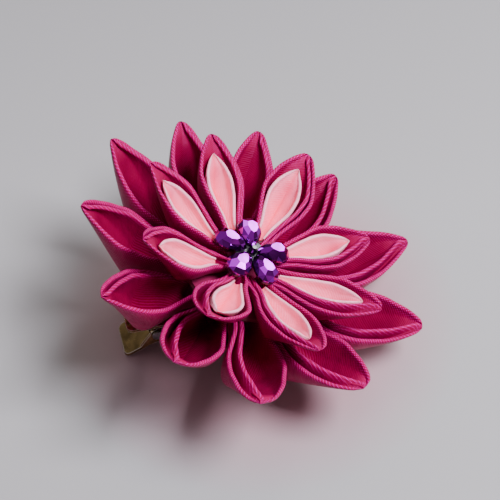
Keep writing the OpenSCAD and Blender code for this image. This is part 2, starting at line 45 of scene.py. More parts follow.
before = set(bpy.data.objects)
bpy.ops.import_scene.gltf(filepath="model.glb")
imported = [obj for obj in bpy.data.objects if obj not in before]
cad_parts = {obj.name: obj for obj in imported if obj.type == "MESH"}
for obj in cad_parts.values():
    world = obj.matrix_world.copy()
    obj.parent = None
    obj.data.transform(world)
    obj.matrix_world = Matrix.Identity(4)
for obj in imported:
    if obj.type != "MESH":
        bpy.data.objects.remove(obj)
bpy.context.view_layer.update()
MM = 0.001

# Columns of the petal tables: degrees from the even ring, then shares of the ring's
# reach, rise and width, the tip's lean to the anticlockwise side, the slit and the sag.
# The last is 1 for a pointed tip and less for a round one.
TURN, REACH, RISE, WIDTH, LEAN, SLIT, SAG, BLUNT = range(8)
# A ring's first petal points this many degrees anticlockwise from +X, and the others
# follow clockwise
LARGE_FIRST = 133.5
LARGE = (
    (1.5, 0.997, 1.02, 1.05, -0.13, 0.12, 0.27, 0.85),
    (1.5, 0.967, 0.96, 0.92, -0.07, 0.12, 0.17, 0.8),
    (2.5, 0.986, 0.96, 0.88, 0.03, 0.12, 0.17, 0.85),
    (0, 0.978, 0.96, 0.92, 0.31, 0.6, 0.17, 0.9),
    (0, 1.043, 1.10, 1.12, 0.24, 0.75, 0.24, 0.9),
    (0, 1.043, 1.05, 1.22, 0.16, 0.85, 1, 0.7),
    (-0.5, 0.978, 0.99, 1.19, 0, 1, 0.33, 0.54),
    (1, 0.997, 0.96, 1.06, -0.38, 1, 0.17, 0.46),
    (0, 0.997, 1.01, 1.03, -0.13, 0.9, 0.27, 0.48),
    (0, 1.011, 0.94, 0.97, 0.05, 0.4, 0.67, 0.72),
    (0, 0.984, 1.02, 1.02, 0, 0.4, 0.6, 0.72),
)
SMALL_FIRST = 142
SMALL = (
    (2, 0.974, 1.02, 0.97, -0.12, 0.12, 0, 0.82),
    (2, 1, 0.96, 0.95, -0.01, 0.12, 0, 0.8),
    (-2.5, 1.033, 1.09, 1.02, 0.14, 0.3, 0, 0.85),
    (-1, 0.974, 0.9, 0.95, -0.05, 0.5, 0, 0.85),
    (-2, 1.029, 0.99, 1, 0.13, 1, 0, 0.75),
    (0.5, 1.033, 0.99, 1, 0.09, 0.45, 0, 0.58),
    (4, 1, 1.02, 1.05, -0.27, 0.9, 0, 0.48),
    (2, 0.993, 1.02, 1.04, -0.08, 0.25, 0, 0.7),
)

# Shape of a petal along its length, as in the part's source
LEAF_PEAK, LEAF_POINT = 0.44, 1.6
KEEL_EASE, KEEL_FALL, TIP_HEIGHT = 2, 1.14, 1
SLIT_DEPTH, SLIT_DROP = 0.55, 0.6
POCKET_LOW = 0.35
# Back edges sag from this radius on, and fully this much further out, in millimetres
SAG_START, SAG_RUN = 15, 9
# Share of a petal's length at which its slit is widest
SLIT_PEAK = 0.1
# The middle disc sits where the large rims pass its edge by this many millimetres
DISC_OVERLAP = 1
# Tips blunter than the first number are rolled over the second one's share of the petal's
# length, and fully where they are blunter by the third
ROLLED_BELOW, ROLL_LENGTH, ROLL_EASE = 0.7, 0.19, 0.2
# Depth in millimetres from which the cloth in a pocket gets its full painted shade. The painted
# shade deepens with the way down to these powers, up to these shares of the shade colour.
FULL_DEPTH = 2
SINK, PALE_SINK = 0.42, 0.9
PAINTED_SHADE_SHARE, PALE_PAINTED_SHADE_SHARE = 0.95, 0.9

# Points on each run of a petal's section: outside, over a rim, inside and beside the slit
OUT_POINTS, RIM_POINTS, IN_POINTS, SLIT_POINTS = 16, 8, 18, 10
PALE_OUT_POINTS, PALE_IN_POINTS = 20, 16
# The cut edges meet this share of the way from the keel's middle to the side
EDGE_START = 0.03
# Powers that bunch the points at the bottom of the inside and the pale outside
IN_BUNCH, PALE_OUT_BUNCH = 1.4, 1.3
# Powers by which a pocket and a pale petal's outer room close on the pocket's floor
CUP, PALE_CUP = 1.9, 1.6
# Height of the fold over a rim, as a share of the wall
RIM_BULGE, PALE_RIM_BULGE = 0.42, 0.5
# A pale petal's least depth in millimetres, and its room over the pocket's floor with that
PALE_DEPTH, PALE_ROOM = 0.8, 0.9
# A pale ribbon wavers, and its band of ribs and painted highlight along a fold spreads, this share
# of what a magenta one does
PALE_CALM = 0.5
# Sections along a petal, and the length in millimetres of its rounded point
SECTIONS, POINT_LENGTH = 64, 0.9
PALE_SECTIONS, PALE_POINT_LENGTH = 56, 0.7
MAGENTA_SATIN = "satin ribbon, woven polyester, magenta"
# Millimetres for each unit of a ribbon's UV map, and the millimetres between the lines that
# a diagonal wave of scale 1 draws on it: the wave repeats each 0.628 units along u + v, and
# lines at 45 degrees stand that over the root of 2 apart
THREAD_UNIT, WAVE_SPACING = 10, 4.44

# Noise hardly leaves this span, which a Map Range node then spreads over what it drives
NOISE_SPAN = {"From Min": 0.3, "From Max": 0.7}

# Directions of the drop stones, in degrees anticlockwise from +X
STONE_TURNS = (81, 153, 224, 288, 360)
# Place of a drop stone's middle along its length
STONE_MIDDLE = 0.56
# Scale of the back and of the ring where the facets round the table end, with its height
BACK_SCALE, CROWN_SCALE, CROWN_HEIGHT = 0.86, 0.8, 0.74
# Height of the girdle's band as a share of the stone's
GIRDLE_BAND = 0.14
# The dark stone's middle stands this share of a drop stone's height over the drops' backs
DARK_STONE_RISE = 0.35
# Normal of the facets that the photograph shows lit, which lean to the left and the front
# Facets that face this way get a painted highlight in the stones' material
LIT_FACET = (-0.25, -0.225, 0.942)

# Half the table top's side, in metres
FLOOR_REACH = 3.0
# Lights by the name of their power: place from the flower's middle and side, in metres,
# and colour. In the photograph the shadows show a light 59 degrees up at the right, the
# stones' white tables and bright facets show two windows lower down behind, and the clip's
# lever shows a warm room.
LIGHTS = (
    ("key", (0.47, -0.22, 0.85), 0.4, (0.98, 0.99, 1)),
    ("room", (0.2, 0.8, 1.13), 0.5, (1, 0.78, 0.5)),
    ("window", (0.77, 0.61, 0.49), 0.24, (1, 1, 1)),
    ("far_window", (-0.2, 0.9, 0.66), 0.3, (1, 1, 1)),
    ("ceiling", (-0.3, 0.12, 0.84), 0.4, (1, 1, 1)),
    ("front", (0.26, -0.34, 0.2), 0.25, (1, 0.8, 0.78)),
)
# The camera's place from the flower's middle in metres, and its gaze: degrees to the right
# of +Y and degrees down
CAMERA_PLACE = (-0.0492, -0.2174, 0.3219)
CAMERA_TURN, CAMERA_DROP = 14.1, 54
SENSOR_WIDTH = 36


def size(name, default_mm, description):
    """A length that a user may change, given in millimetres and kept in metres."""
    return FloatProperty(
        name=name,
        description=description,
        default=default_mm * MM,
        min=0,
        soft_max=4 * default_mm * MM,
        precision=5,
        unit="LENGTH",
    )


def tint(name, hex_code, description):
    """A colour that a user may change, given as an sRGB hex value."""
    return FloatVectorProperty(
        name=name,
        description=description,
        default=linear(hex_code),
        size=4,
        min=0,
        max=1,
        subtype="COLOR",
    )


def number(name, default, description, top=1.0):
    """A plain number that a user may change."""
    return FloatProperty(name=name, description=description, default=default, min=0, max=top)


def linear(hex_code):
    """Linear RGBA of an sRGB hex value: c / 12.92 near black, else ((c + 0.055) / 1.055)^2.4."""
    parts = [int(hex_code[i : i + 2], 16) / 255 for i in (1, 3, 5)]
    return (*(c / 12.92 if c <= 0.04045 else ((c + 0.055) / 1.055) ** 2.4 for c in parts), 1)


class FLOWER_PG_large(PropertyGroup):
    """The ring of large petals."""

    reach: size("Reach", 37, "Radius of the circle that the large tips reach")
    rise: size("Rise", 13.9, "Height of the large tips over the flower's back")
    width: size("Width", 12, "Width of a large petal across its rims")
    heart: size("Heart", 11, "Radius where the large petals end, under the small ones")
    heart_rise: size("Heart rim", 6.4, "Height of their rims at that end")
    square: size("Ribbon square", 50, "Side of the square of ribbon a petal is folded from")
    left: number("Left after trimming", 0.46, "Share of the square left after its ends are cut off")


class FLOWER_PG_small(PropertyGroup):
    """The ring of small petals."""

    reach: size("Reach", 27.3, "Radius of the circle that the small tips reach")
    rise: size("Rise", 13, "Height of the small tips over the large petals' inner ends")
    width: size("Width", 11, "Width of a small petal across its rims")
    heart: size("Heart", 6.5, "Radius where the small petals end, under the stones")
    heart_rise: size("Heart rim", 5.6, "Height of their inner rims over the large ones")
    tail: size("Tail", 2.5, "How far the small petals run on under the stones")
    wall: size("Wall", 0.85, "Thickness of a small petal's wall")
    square: size("Ribbon square", 40, "Side of the square of ribbon a petal is folded from")
    left: number("Left after trimming", 0.42, "Share of the square left after its ends are cut off")


class FLOWER_PG_pale(PropertyGroup):
    """The pale petals that line the small ones."""

    inset: size("Inset", 3.9, "Distance from a small petal's tip back to the pale tip")
    drop: size("Drop", 0.6, "Drop from the small petal's rim to the pale rim")
    back: size("Back", 0.9, "Distance from the small petal's heart to the pale inner end")
    gap: size("Gap", 0.12, "Gap between the pale petal and the pocket that holds it")
    wall: size("Wall", 0.72, "Thickness of its walls")
    ply: size("Ply", 0.16, "Thickness of one ply of its ribbon")
    square: size("Ribbon square", 25, "Side of the square of ribbon a petal is folded from")
    left: number("Left after trimming", 0.34, "Share of the square left after its ends are cut off")


class FLOWER_PG_cloth(PropertyGroup):
    """Measures and colours of the satin ribbon."""

    wall: size("Wall", 1, "Thickness of a large petal's wall, two plies and the glue between")
    tip: size("Tip", 1, "Thickness of a folded tip")
    ply: size("Ply", 0.22, "Thickness of one ply of ribbon")
    slit: size("Slit", 1.6, "Widest opening of the slit in the clockwise wall")
    sag: size("Sag", 2.4, "Most that a back edge hangs below the flower's back")
    seat: size("Seat", 0.3, "Gap between pieces that are glued together on the real one")
    felt: size("Felt", 1, "Thickness of the felt discs")
    middle: size("Middle disc", 26, "Diameter of the felt between the rings of petals")
    waver: size("Waver", 0.09, "How far a hand-folded rim wanders from the even line")
    # The fold band carries the ribs and the painted highlight along each fold
    spread: size("Fold band", 1.05, "How far the ribs show on each side of a fold")
    rib: size("Rib", 0.52, "Spacing of the ribs that the weave shows across a fold")
    twill: size("Twill", 0.42, "Spacing of the fine lines that the weave shows on flat cloth")
    magenta: tint("Magenta", "#920039", "Satin where light meets it squarely")
    # Painted shade: the colour that satin takes down in a pocket or slit
    magenta_deep: tint("Magenta, deep", "#680008", "Satin down in a fold")
    # Painted highlight along a fold, where light catches the threads
    magenta_fold: tint("Magenta, fold", "#FF24C6", "Spread threads along a fold")
    magenta_sheen: tint("Magenta, sheen", "#FF5CD0", "Light that skims the magenta threads")
    pale: tint("Pale pink", "#FF9CC2", "Pale satin where light meets it squarely")
    # Painted shade down in a pale petal's pocket
    pale_deep: tint("Pale pink, deep", "#FF2C6C", "Pale satin down in a fold")
    # Painted highlight along a pale fold
    pale_fold: tint("Pale pink, fold", "#FFDCD6", "Spread pale threads along a fold")
    pale_sheen: tint("Pale pink, sheen", "#FFD8D0", "Light that skims the pale threads")
    felt_colour: tint("Felt", "#7E0040", "Felt discs that the petals are glued to")


class FLOWER_PG_stones(PropertyGroup):
    """The cut stones in the middle."""

    length: size("Length", 7, "Length of a drop stone")
    width: size("Width", 5.2, "Width of a drop stone")
    height: size("Height", 2.5, "Thickness of a drop stone")
    start: size("Start", 1.3, "Distance from the flower's middle to the narrow ends")
    table: number("Table", 0.45, "Width of the flat top as a share of the stone's")
    girdle: number("Girdle", 0.36, "Height of the widest edge as a share of the stone's")
    violet: tint("Violet", "#86009C", "Lacquered back seen through the facets")
    # Painted highlight colour of the facets that face LIT_FACET
    glow: tint("Violet, lit", "#D400FF", "Facets that send light back from the foil")
    dark: tint("Dark stone", "#0A0612", "The dark middle stone")
    plate: tint("Plate", "#5E5C62", "Silver plate that the stones sit on")


class FLOWER_PG_steel(PropertyGroup):
    """The plated steel of the clip."""

    # The nickel colour is the plating's own, warmed by a painted reflection of the room
    nickel: tint("Nickel", "#A38A5C", "Plating of the two arms, warm from the room it mirrors")
    # The edge colour is a painted highlight along the arms' edges
    edge: tint("Worn edge", "#FFFAF0", "Edges where the plating is rubbed bright")
    wire: tint("Wire", "#94949A", "Drawn wire of the spring and the pin")
    polish: number("Roughness", 0.16, "Roughness of the plating")


class FLOWER_PG_studio(PropertyGroup):
    """Floor, lights and camera."""

    floor: tint("Floor", "#A19FA5", "Pale grey table top")
    floor_glow: tint("Floor, by the flower", "#B07586", "Table that the satin throws light on")
    lens: number("Lens", 136.7, "Focal length over a 36 mm sensor, in millimetres", 500.0)
    key: number("Key", 23.0, "Power of the high light at the right, in watts", 500.0)
    window: number("Window", 3.2, "Power of the window behind at the right, in watts", 500.0)
    far_window: number("Far window", 0.7, "Power of the dim window behind, in watts", 500.0)
    ceiling: number("Ceiling", 0.42, "Power of the dim light high at the left, in watts", 500.0)
    front: number("Front", 0.1, "Power of the soft light low in front, in watts", 500.0)
    room: number("Room", 1.3, "Power of the warm light off the room behind, in watts", 500.0)
    sky: number("Sky", 0.245, "Strength of the soft light from all round", 5.0)
    sky_colour: tint("Sky colour", "#F8EEEE", "Colour of the soft light from all round")
    seed: IntProperty(name="Seed", description="Seed of the folds' waver", default=7, min=0)


def ease(x):
    """Smooth step from 0 to 1: 3x^2 - 2x^3, held at its ends."""
    x = np.clip(x, 0, 1)
    return x * x * (3 - 2 * x)


def wall_curve(v):
    """Half width of a petal's round section at share v of its height: sqrt(1 - (1 - v)^2)."""
    return np.sqrt(1 - (1 - np.clip(v, 0, 1)) ** 2)


def in_mm(group, names):
    """The named lengths of a property group, in millimetres."""
    return SimpleNamespace(**{name: getattr(group, name) / MM for name in names.split()})


def rings(scene):
    """Both rings of petals and the cloth's measures, in millimetres, from the user's sizes."""
    cloth = in_mm(scene.flower_cloth, "wall tip ply slit sag seat felt middle waver spread")
    low = in_mm(scene.flower_large, "reach rise width heart heart_rise")
    up = in_mm(scene.flower_small, "reach rise width heart heart_rise tail wall")
    out = (cloth.middle / 2 + DISC_OVERLAP - low.heart) / (low.reach - low.heart)
    middle = low.heart_rise + cloth.seat + out * (low.rise - low.heart_rise)
    low.kind, low.table, low.first = "lower", LARGE, LARGE_FIRST
    low.base, low.tip_z, low.heart_z = 0, low.rise, low.heart_rise
    low.tail, low.wall = 0, cloth.wall
    up.kind, up.table, up.first = "upper", SMALL, SMALL_FIRST
    up.base = middle + cloth.felt + cloth.seat
    up.tip_z, up.heart_z = low.heart_rise + up.rise, low.heart_rise + up.heart_rise
    return low, up, cloth


def direction(ring, i):
    """Direction of a ring's petal i, in degrees anticlockwise from +X."""
    return ring.first - 360 / len(ring.table) * i + ring.table[i][TURN]


def measures(ring, cloth, row, u):
    """Measures of a petal at shares u of its length from the tip, as in the part's source.

    The width grows as a leaf, (1 - (1 - u/peak)^point)^blunt, then falls as a half cosine
    to the room between its neighbours at the heart. The rim runs straight from tip to
    heart. The keel falls from the tip by fall * d^2 / (d + ease) at distance d, down to
    the base, whose outer part sags. Each measure is a column, with a row for each u.
    """
    u = u[:, None]
    tip_r = ring.reach * row[REACH]
    tip_z = ring.base + (ring.tip_z - ring.base) * row[RISE]
    full = ring.width * row[WIDTH]
    back = u * (tip_r - ring.heart)
    radius = tip_r - back
    rising = (1 - (1 - np.minimum(u / LEAF_PEAK, 1)) ** LEAF_POINT) ** row[BLUNT]
    falling = (1 + np.cos(np.pi * (np.minimum(u, 1) - LEAF_PEAK) / (1 - LEAF_PEAK))) / 2
    half_step = math.tan(math.pi / len(ring.table))
    room = 2 * np.minimum(radius, ring.heart) * half_step - 2 * cloth.seat
    width = np.where(
        u < LEAF_PEAK,
        cloth.tip + (full - cloth.tip) * rising,
        room + (full - room) * falling,
    )
    rim = ring.heart_z + (tip_z - ring.heart_z) * (1 - u)
    base = ring.base - cloth.sag * row[SAG] * ease((radius - SAG_START) / SAG_RUN)
    keel = np.maximum(base, tip_z - TIP_HEIGHT - KEEL_FALL * back**2 / (back + KEEL_EASE))
    # The slit is a loop, round at the tip, then widest, and narrower inwards
    narrowing = 1.25 - 1.2 * ease((u - SLIT_PEAK) / (1 - SLIT_PEAK))
    slit = cloth.slit * row[SLIT] * wall_curve(u / SLIT_PEAK) * narrowing
    # The pocket's floor lies 1.2 walls over the keel, and near the tip at 0.6 of the height
    floor = np.maximum(
        1.2 * cloth.wall * np.clip(4 * u + 0.3, 0, 1), 0.6 * (rim - keel) * (1 - 5 * u)
    )
    # A blunt tip is rolled: its pocket is filled up to the rim and ends short of the tip
    rolled = np.clip((ROLLED_BELOW - row[BLUNT]) / ROLL_EASE, 0, 1)
    floor = np.maximum(floor, rolled * (rim - keel) * (1 - (u / ROLL_LENGTH) ** 2))
    return SimpleNamespace(
        radius=radius,
        middle=full * row[LEAN] * np.maximum(1 - u, 0) ** 1.5,
        half=width / 2,
        rim=rim,
        keel=keel,
        wall=np.minimum(ring.wall, 0.38 * width / 2),
        slit=np.maximum(np.minimum(slit, 0.3 * width), 0.03),
        floor=keel + floor,
        back=back,
    )


def pocket(m, q):
    """Left and right side of a petal's pocket at shares q of its depth, as y.

    Each stands a wall inside the petal's round section, and the right one a further wall
    and slit, from 0.3 of them on the floor to all of them at the rim.
    """
    v = (m.floor + q * (m.rim - m.floor) - m.keel) / (m.rim - m.keel)
    left = m.middle + m.half * wall_curve(v) - m.wall
    right = m.middle - m.half * wall_curve(v) + m.wall + (m.wall + m.slit) * (0.3 + 0.7 * q)
    return left, right


def cup(m, q, sharp):
    """Pocket sides that close on its floor: the gap times 1 - (1 - q/low)^sharp below low."""
    left, right = pocket(m, q)
    near = 1 - (1 - np.clip(q / POCKET_LOW, 0, 1)) ** sharp
    middle = (left + right) / 2 * near + (m.middle + m.slit / 4) * (1 - near)
    return middle, (left - right) / 2 * near


def turn_over(y0, y1, top, bulge):
    """Fold over a rim: half an ellipse from y0 to y1, bulge over the height top."""
    a = np.linspace(0, np.pi, RIM_POINTS + 2)[None, 1:-1]
    return (y0 + y1) / 2 + (y0 - y1) / 2 * np.cos(a), top + bulge * np.sin(a)


def join_runs(runs):
    """Joins the runs of a section, each with its y, its z and how deep it lies in a pocket.

    A run whose depth is None is a rim, and the middle of each rim is a crest.
    """
    y = np.concatenate([run[0] for run in runs], axis=1)
    z = np.concatenate([run[1] for run in runs], axis=1)
    depth = np.concatenate(
        [0 * line + (0 if deep is None else deep) for line, _, deep in runs], axis=1
    )
    ends = np.cumsum([0] + [run[0].shape[1] for run in runs])
    crests = [(ends[i] + ends[i + 1]) // 2 for i, run in enumerate(runs) if run[2] is None]
    return y, z, depth, crests


def folded_section(m):
    """One ribbon's path round a petal's section, from the keel up its anticlockwise side.

    Quarter ellipse up the outside, over the rim, down into the pocket and up again, over
    the inner rim, down and up the slit, over the outer rim, and a quarter ellipse down.
    Returns y, z, how deep in a pocket or slit each point lies, and the rims' places.
    """
    height = m.rim - m.keel
    drop = np.minimum(SLIT_DROP, 0.2 * height)
    bulge = RIM_BULGE * m.wall
    y_left, y_right = m.middle + m.half, m.middle - m.half

    def outside(side, arc, tall):
        return m.middle + side * m.half * np.sin(arc), m.keel + (1 - np.cos(arc)) * tall

    def clockwise_wall(z, tall):
        return m.middle - m.half * wall_curve((z - m.keel) / tall) + m.wall

    arc = np.linspace(EDGE_START, 1, OUT_POINTS)[None] * np.pi / 2
    down = np.linspace(1, 0, IN_POINTS)[None] ** IN_BUNCH
    middle, half = cup(m, down, CUP)
    left, right = middle + half, middle - half
    pocket_z = m.floor + down * (m.rim - m.floor)
    # Share of painted shade, by how far down the pocket or slit each point lies
    sunk = (1 - down) ** SINK * np.clip((m.rim - m.floor) / FULL_DEPTH, 0, 1)
    w = np.linspace(1, 0, SLIT_POINTS)[None]
    slit_z = m.rim - SLIT_DEPTH * height
    strip_z = slit_z + w * (m.rim - drop - slit_z)
    strip = clockwise_wall(strip_z, height - drop)
    inner_z = slit_z + w * (m.rim - slit_z)
    inner = clockwise_wall(inner_z, height) + m.slit * w**0.5
    inner_rim = y_right + m.wall + m.slit
    return join_runs([
        (*outside(1, arc, height), 0),
        (*turn_over(y_left, y_left - m.wall, m.rim, bulge), None),
        (left, pocket_z, sunk),
        (right[:, -2::-1], pocket_z[:, -2::-1], sunk[:, -2::-1]),
        (*turn_over(inner_rim + m.wall, inner_rim, m.rim, bulge), None),
        (inner, inner_z, (1 - w) ** 0.5),
        (strip[:, -2::-1], strip_z[:, -2::-1], (1 - w[:, -2::-1]) ** 0.5),
        (*turn_over(y_right + m.wall, y_right, m.rim - drop, bulge), None),
        (*outside(-1, arc[:, ::-1], height - drop), 0),
    ])


def lining_section(m, pale, along):
    """Path of a pale ribbon in a small petal's pocket: down its outside, over two rims.

    Its middle is the parabola nearest to the pocket's, and its sides stand the gap inside
    the pocket's. Near its own tip they close as a leaf, w (1 - (1 - s / 0.5)^1.9) at share
    s of its length, which joins the pocket's room r as (r^-3 + leaf^-3)^(-1/3).
    """
    depth = m.rim - m.floor
    # Low down the pocket's sides lean, so the same gap across them is longer upwards
    low_left, low_right = pocket(m, 0 * m.rim + POCKET_LOW)
    clear = np.maximum(2.2, POCKET_LOW * depth * 2.3 / (low_left - low_right)) * pale.gap
    rim = np.maximum(m.rim - pale.drop, m.floor + clear + PALE_ROOM)
    # Its depth grows from 0.3 of the room at its tip to all of it further in
    growth = np.clip(0.3 + 3 * along, 0, 1)
    keel = rim - np.maximum(PALE_DEPTH, (rim - m.floor - clear) * growth)

    def room(z):
        middle, half = cup(m, (z - m.floor) / depth, PALE_CUP)
        return middle, half - pale.gap

    top_mid, top_half = room(rim)
    s = along[:, 0]
    shift = np.polyval(np.polyfit(s, top_mid[:, 0], 2), s)[:, None] - top_mid
    space = np.maximum(top_half - abs(shift), 0.1)
    leaf = 1.2 * space.max() * (1 - (1 - np.clip(along / 0.5, 0, 1)) ** 1.9) + 0.05
    share = (space**-3 + leaf**-3) ** (-1 / 3) / space

    def sides(z, inset):
        middle, half = room(z)
        return middle + shift, np.maximum((half - abs(shift)) * share - inset, 0.02)

    top_mid, top_half = sides(rim, 0)
    wall = np.minimum(pale.wall, 0.42 * top_half)
    bulge = PALE_RIM_BULGE * wall
    up = np.linspace(EDGE_START, 1, PALE_OUT_POINTS)[None] ** PALE_OUT_BUNCH
    down = np.linspace(1, 0, PALE_IN_POINTS)[None] ** IN_BUNCH
    # The outside rounds off to the keel in the lower half of its height, and the inside to
    # the lining's own floor in the lower 0.6
    out_z = keel + up * (rim - keel)
    mid, half = sides(out_z, 0)
    half = half * wall_curve(up / 0.5)
    floor = keel + np.minimum(pale.wall, 0.45 * (rim - keel))
    in_z = floor + down * (rim - floor)
    in_mid, in_half = sides(in_z, wall)
    in_half = in_half * (1 - (1 - np.minimum(down / 0.6, 1)) ** 1.7)
    # Share of painted shade down the pale petal's inside
    sunk = (1 - down) ** PALE_SINK
    return join_runs([
        (mid + half, out_z, 0),
        (*turn_over(top_mid + top_half, top_mid + top_half - wall, rim, bulge), None),
        (in_mid + in_half, in_z, sunk),
        ((in_mid - in_half)[:, -2::-1], in_z[:, -2::-1], sunk[:, -2::-1]),
        (*turn_over(top_mid - top_half + wall, top_mid - top_half, rim, bulge), None),
        ((mid - half)[:, ::-1], out_z[:, ::-1], 0),
    ])


def close_tip(section, back, length):
    """Draws a section's last part in to a rounded point: scale sqrt(1 - (1 - d)^2)."""
    y, z, depth, crests = section
    scale = np.maximum(wall_curve(back / length), 0.03)

    def drawn_in(values):
        middle = (values.max(1, keepdims=True) + values.min(1, keepdims=True)) / 2
        return middle + (values - middle) * scale

    return (drawn_in(y), drawn_in(z), depth, crests), scale


def seat_frame():
    """The flower's own frame, in metres: its tilt from the clip, its middle from the felt.

    The felt disc's middle lies half its thickness and one gap under the flower's back.
    """
    low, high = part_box("felt_back")
    across, wide, tall = (high[i] - low[i] for i in range(3))
    cloth = bpy.context.scene.flower_cloth
    # A tilted disc of width w and thickness t is w cos + t sin long and w sin + t cos tall
    angle = math.atan2(tall * wide - across * cloth.felt, across * wide - tall * cloth.felt)
    place = Matrix.Rotation(angle, 4, "Y")
    middle = Vector((np.array(low) + np.array(high)) / 2)
    back = place @ Vector((0, 0, cloth.seat + cloth.felt / 2))
    return np.array(Matrix.Translation(middle + back) @ place)


def set_in_flower(points_mm, turn):
    """Moves points from a petal's own frame, in millimetres, to the part's, in metres."""
    place = seat_frame() @ np.array(Matrix.Rotation(math.radians(turn), 4, "Z"))
    flat = points_mm.reshape(-1, 3) * MM
    return (flat @ place[:3, :3].T + place[:3, 3]).reshape(points_mm.shape)


def strip_faces(a, b):
    """Quads between two rows of vertex numbers."""
    return np.stack([a[:-1], a[1:], b[1:], b[:-1]], axis=-1).reshape(-1, 4)


def grid_faces(ids):
    """Quads of a grid of vertex numbers."""
    corners = [ids[:-1, :-1], ids[:-1, 1:], ids[1:, 1:], ids[1:, :-1]]
    return np.stack(corners, axis=-1).reshape(-1, 4)


def new_piece(name, points, faces, material, smooth=True):
    """A mesh object at the origin, with its faces turned outwards by its signed volume."""
    a, b, c = (points[faces[:, i]] for i in (0, 1, 2))
    volume = (a * np.cross(b, c)).sum()
    if faces.shape[1] == 4:
        volume += (a * np.cross(c, points[faces[:, 3]])).sum()
    if volume < 0:
        faces = faces[:, ::-1]
    starts = np.arange(0, faces.size, faces.shape[1], dtype=np.int32)
    mesh = bpy.data.meshes.new(name)
    mesh.vertices.add(len(points))
    mesh.vertices.foreach_set("co", points.astype(np.float32).ravel())
    mesh.loops.add(faces.size)
    mesh.loops.foreach_set("vertex_index", faces.astype(np.int32).ravel())
    mesh.polygons.add(len(faces))
    mesh.polygons.foreach_set("loop_start", starts)
    mesh.polygons.foreach_set("use_smooth", np.full(len(faces), smooth))
    mesh.update(calc_edges=True)
    mesh.validate()
    piece = bpy.data.objects.new(name, mesh)
    bpy.context.scene.collection.objects.link(piece)
    piece.data.materials.append(material)
    return piece


def set_values(piece, name, values):
    """Keeps one number per vertex on the mesh, for the material to read."""
    layer = piece.data.attributes.new(name, "FLOAT", "POINT")
    layer.data.foreach_set("value", values.astype(np.float32).ravel())


def set_threads(piece, across, along):
    """UV map that follows the cloth, across and along the petal."""
    loops = np.empty(len(piece.data.loops), np.int32)
    piece.data.loops.foreach_get("vertex_index", loops)
    uv = np.stack([across.ravel(), along.ravel()], axis=1)[loops] / THREAD_UNIT
    layer = piece.data.uv_layers.new(name="threads")
    layer.data.foreach_set("uv", uv.astype(np.float32).ravel())


def cloth_piece(name, section, radius, turn, ply, material, waver, spread, rng):
    """A folded ribbon: section paths carried along the petal, with the ply's thickness.

    The front is the path itself, the back lies the ply's thickness inside it along the
    path's normal, and both meet at the cut edges and at the two ends. The rims wander by
    a sum of two sines along the length.
    """
    y, z, depth, crests = section
    rows, cols = y.shape
    t = np.linspace(0, 1, rows)[:, None]
    phase = rng.uniform(0, 2 * np.pi, 4)
    wander = waver * np.sin(np.pi * t) * (
        np.sin(2 * np.pi * 2.3 * t + phase[0]) + 0.6 * np.sin(2 * np.pi * 5.1 * t + phase[1])
    )
    lift = waver * 0.7 * np.sin(np.pi * t) * np.sin(2 * np.pi * 3.1 * t + phase[2])
    reach = (z - z.min(1, keepdims=True)) / np.maximum(np.ptp(z, axis=1, keepdims=True), 1e-6)
    y, z = y + wander * reach**2, z + lift * reach**2
    dy, dz = np.gradient(y, axis=1), np.gradient(z, axis=1)
    step = np.maximum(np.hypot(dy, dz), 1e-9)
    inside = np.stack([np.zeros_like(y), -dz / step, dy / step], axis=-1)
    along = radius + 0 * y
    front = np.stack([along, y, z], axis=-1)
    back = front + inside * ply[..., None]
    points = set_in_flower(np.stack([front, back]), turn).reshape(-1, 3)
    f, b = np.arange(2 * rows * cols).reshape(2, rows, cols)
    faces = np.concatenate([
        grid_faces(f),
        grid_faces(b)[:, ::-1],
        strip_faces(b[:, 0], f[:, 0]),
        strip_faces(f[:, -1], b[:, -1]),
        strip_faces(f[0], b[0]),
        strip_faces(b[-1], f[-1]),
    ])
    piece = new_piece(name, points, faces, material)
    steps = np.hypot(np.diff(y, axis=1), np.diff(z, axis=1))
    arc = np.concatenate([np.zeros((rows, 1)), np.cumsum(steps, axis=1)], axis=1)
    fold = np.clip(sum(np.exp(-(((arc - arc[:, [c]]) / spread) ** 2)) for c in crests), 0, 1)
    # The back of the cloth shows no ribs and no painted highlight
    set_values(piece, "fold", np.stack([fold, 0 * fold]))
    # How far down in a pocket each point lies, which sets its painted shade
    set_values(piece, "deep", np.stack([depth, depth]))
    set_threads(piece, np.stack([arc - arc[:, [crests[0]]]] * 2), np.stack([along] * 2))
    return piece


def set_inputs(tree, made, inputs):
    """Gives a node's inputs, by name or number, a value or the socket that feeds them."""
    for key, value in inputs.items():
        if isinstance(value, bpy.types.NodeSocket):
            tree.links.new(value, made.inputs[key])
        else:
            made.inputs[key].default_value = value


def node(tree, kind, inputs=None, output=0, **fields):
    """Adds a node with its own fields and its inputs, and returns one of its outputs."""
    made = tree.nodes.new(kind)
    for key, value in fields.items():
        setattr(made, key, value)
    set_inputs(tree, made, inputs or {})
    return made.outputs[output]


def new_material(name, colour, inputs):
    """A material with one Principled shader, whose even values sit on its own sockets."""
    material = bpy.data.materials.new(name)
    material.use_nodes = True
    material.diffuse_color = colour
    tree = material.node_tree
    shader = tree.nodes["Principled BSDF"]
    set_inputs(tree, shader, {"Base Color": colour, **inputs})
    return material, tree, shader


